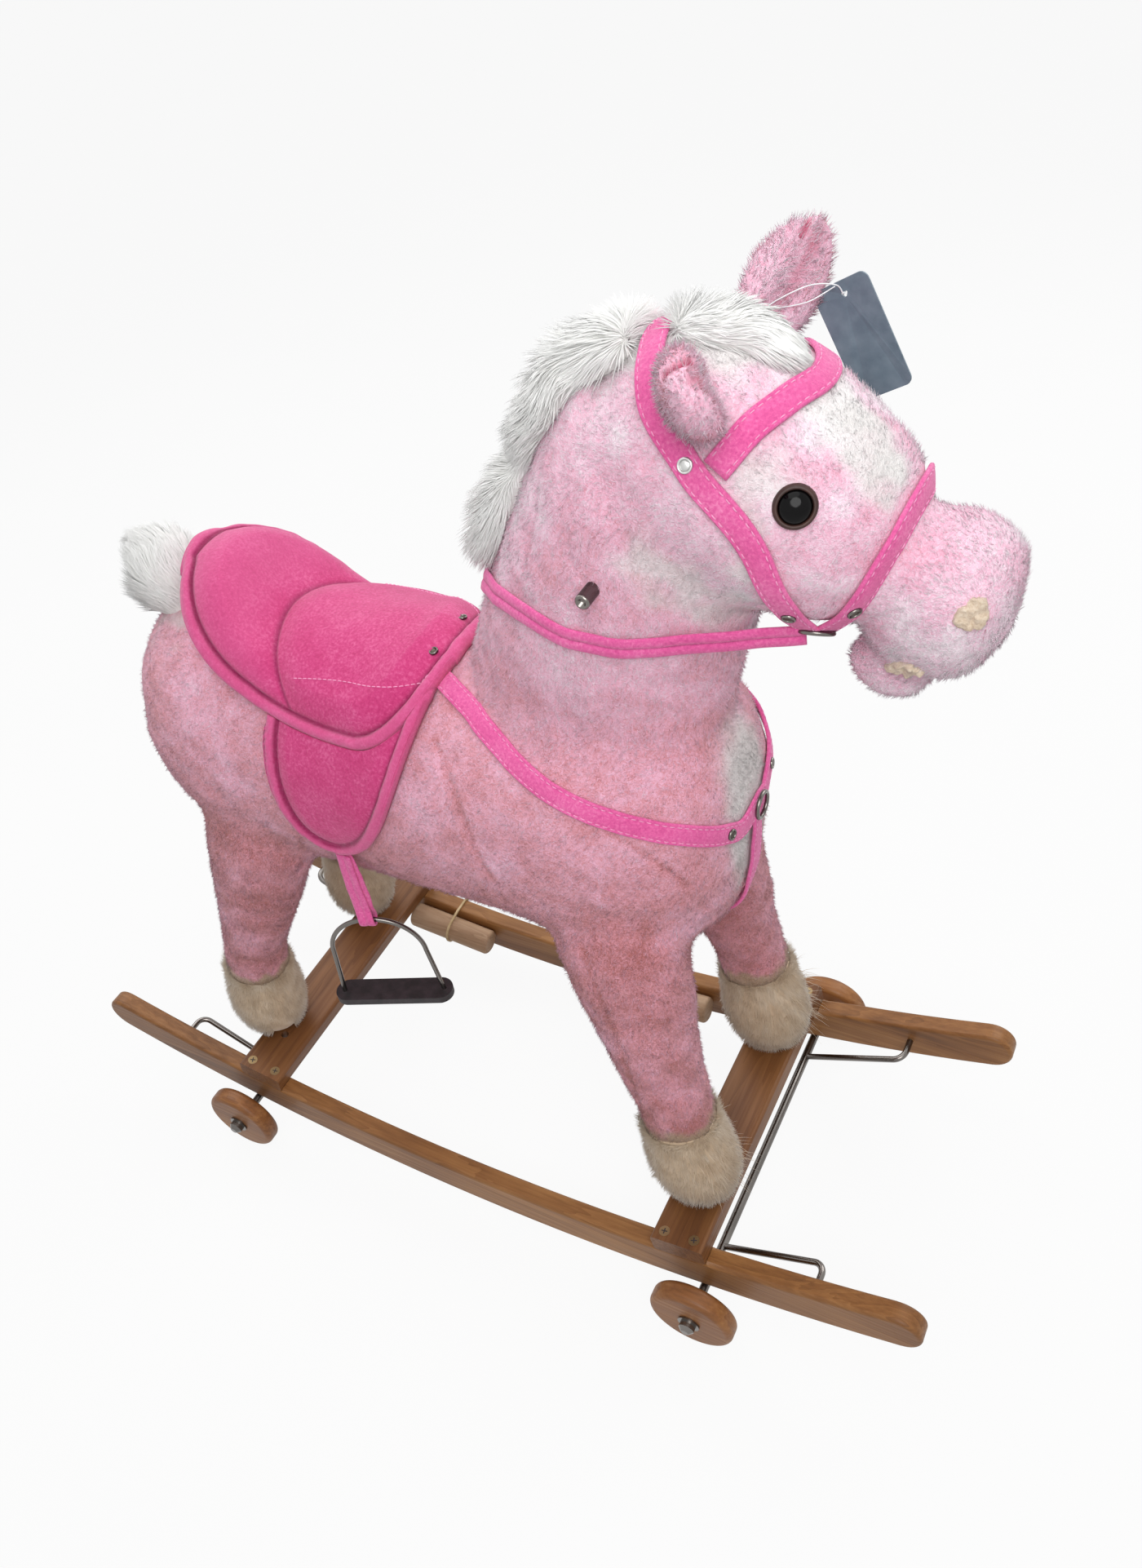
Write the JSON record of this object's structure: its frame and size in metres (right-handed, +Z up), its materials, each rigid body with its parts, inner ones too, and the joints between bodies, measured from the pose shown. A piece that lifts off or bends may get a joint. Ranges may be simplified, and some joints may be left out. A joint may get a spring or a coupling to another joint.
{
  "type": "ride-on rocking horse on wheels",
  "caption": "Plush ride-on horse with felt saddle, stirrups and bridle on curved wooden rockers, with wheel axles on wire bails that fold round the rocker tips.",
  "frame": {"origin": "middle of the bounding box on the floor under the wheels", "axes": "+X to the nose, +Y to the horse's left, +Z up"},
  "size_m": [0.7498, 0.339, 0.7126],
  "materials": {
    "beech": "satin lacquer",
    "softwood": "bare",
    "steel": "zinc plated",
    "pink_plush": "short pile",
    "cream_plush": "long pile",
    "white_fur": "long pile",
    "saddle_felt": "matte",
    "strap_felt": "matte",
    "beige_felt": "matte",
    "eye_plastic": "gloss",
    "black_tread": "matte",
    "rubber_band": "matte"
  },
  "bodies": {
    "frame_and_horse": {"rocker_left": "beech", "rocker_right": "beech", "front_crossbeam": "beech", "rear_crossbeam": "beech", "crossbeam_screws": "steel", "leg_bolts": "steel", "leg_posts": "softwood", "shoulder_rail": "softwood", "hip_rail": "softwood", "spine_board": "softwood", "neck_bar": "softwood", "handle_rod": "steel", "plush_body": "pink_plush", "plush_neck": "pink_plush", "plush_head": "pink_plush", "muzzle": "pink_plush", "lower_jaw": "pink_plush", "ear_left": "pink_plush", "ear_right": "pink_plush", "leg_front_left": "pink_plush", "leg_front_right": "pink_plush", "leg_rear_left": "pink_plush", "leg_rear_right": "pink_plush", "hoof_front_left": "cream_plush", "hoof_front_right": "cream_plush", "hoof_rear_left": "cream_plush", "hoof_rear_right": "cream_plush", "mane": "white_fur", "forelock": "white_fur", "tail": "white_fur", "eyes": "eye_plastic", "nostrils": "beige_felt", "saddle_seat": "saddle_felt", "saddle_flap_left": "saddle_felt", "saddle_flap_right": "saddle_felt", "headstall": "strap_felt", "browband": "strap_felt", "noseband": "strap_felt", "tack_rings": "steel", "tack_rivets": "steel", "reins": "strap_felt", "breast_collar": "strap_felt", "hand_grips": "beech", "grip_bands": "rubber_band"},
    "front_axle_set": {"front_axle": "steel", "front_axle_caps": "steel", "front_axle_washers": "steel"},
    "rear_axle_set": {"rear_axle": "steel", "rear_axle_caps": "steel", "rear_axle_washers": "steel"},
    "wheel_front_left_body": {"wheel_front_left": "beech"},
    "wheel_front_right_body": {"wheel_front_right": "beech"},
    "wheel_rear_left_body": {"wheel_rear_left": "beech"},
    "wheel_rear_right_body": {"wheel_rear_right": "beech"},
    "stirrup_strap_left_body": {"stirrup_strap_left": "strap_felt"},
    "stirrup_left_body": {"stirrup_left": "steel", "stirrup_tread_left": "black_tread"},
    "stirrup_strap_right_body": {"stirrup_strap_right": "strap_felt"},
    "stirrup_right_body": {"stirrup_right": "steel", "stirrup_tread_right": "black_tread"}
  },
  "joints": [
    {"name": "front_wheels_fold", "type": "hinge", "parent": "frame_and_horse", "child": "front_axle_set", "pos_m": [0.298, 0, 0.07177], "axis": [0, -1, 0], "range_deg": [0, 180]},
    {"name": "front_left_wheel_spin", "type": "hinge", "parent": "front_axle_set", "child": "wheel_front_left_body", "pos_m": [0.218, 0.153, 0.033], "axis": [0, 1, 0], "continuous": true},
    {"name": "front_right_wheel_spin", "type": "hinge", "parent": "front_axle_set", "child": "wheel_front_right_body", "pos_m": [0.218, -0.153, 0.033], "axis": [0, 1, 0], "continuous": true},
    {"name": "rear_wheels_fold", "type": "hinge", "parent": "frame_and_horse", "child": "rear_axle_set", "pos_m": [-0.298, 0, 0.07177], "axis": [0, 1, 0], "range_deg": [0, 180]},
    {"name": "rear_left_wheel_spin", "type": "hinge", "parent": "rear_axle_set", "child": "wheel_rear_left_body", "pos_m": [-0.218, 0.153, 0.033], "axis": [0, 1, 0], "continuous": true},
    {"name": "rear_right_wheel_spin", "type": "hinge", "parent": "rear_axle_set", "child": "wheel_rear_right_body", "pos_m": [-0.218, -0.153, 0.033], "axis": [0, 1, 0], "continuous": true},
    {"name": "left_strap_swing", "type": "hinge", "parent": "frame_and_horse", "child": "stirrup_strap_left_body", "pos_m": [-0.04113, 0.0869, 0.36997], "axis": [1, 0, 0], "range_deg": [-12, 65]},
    {"name": "left_stirrup_swing", "type": "hinge", "parent": "stirrup_strap_left_body", "child": "stirrup_left_body", "pos_m": [-0.04113, 0.0869, 0.30397], "axis": [0.9205, -0.3907, 0], "range_deg": [-40, 40]},
    {"name": "right_strap_swing", "type": "hinge", "parent": "frame_and_horse", "child": "stirrup_strap_right_body", "pos_m": [-0.04113, -0.0869, 0.36997], "axis": [-1, 0, 0], "range_deg": [-12, 65]},
    {"name": "right_stirrup_swing", "type": "hinge", "parent": "stirrup_strap_right_body", "child": "stirrup_right_body", "pos_m": [-0.04113, -0.0869, 0.30397], "axis": [0.9205, 0.3907, 0], "range_deg": [-40, 40]}
  ]
}
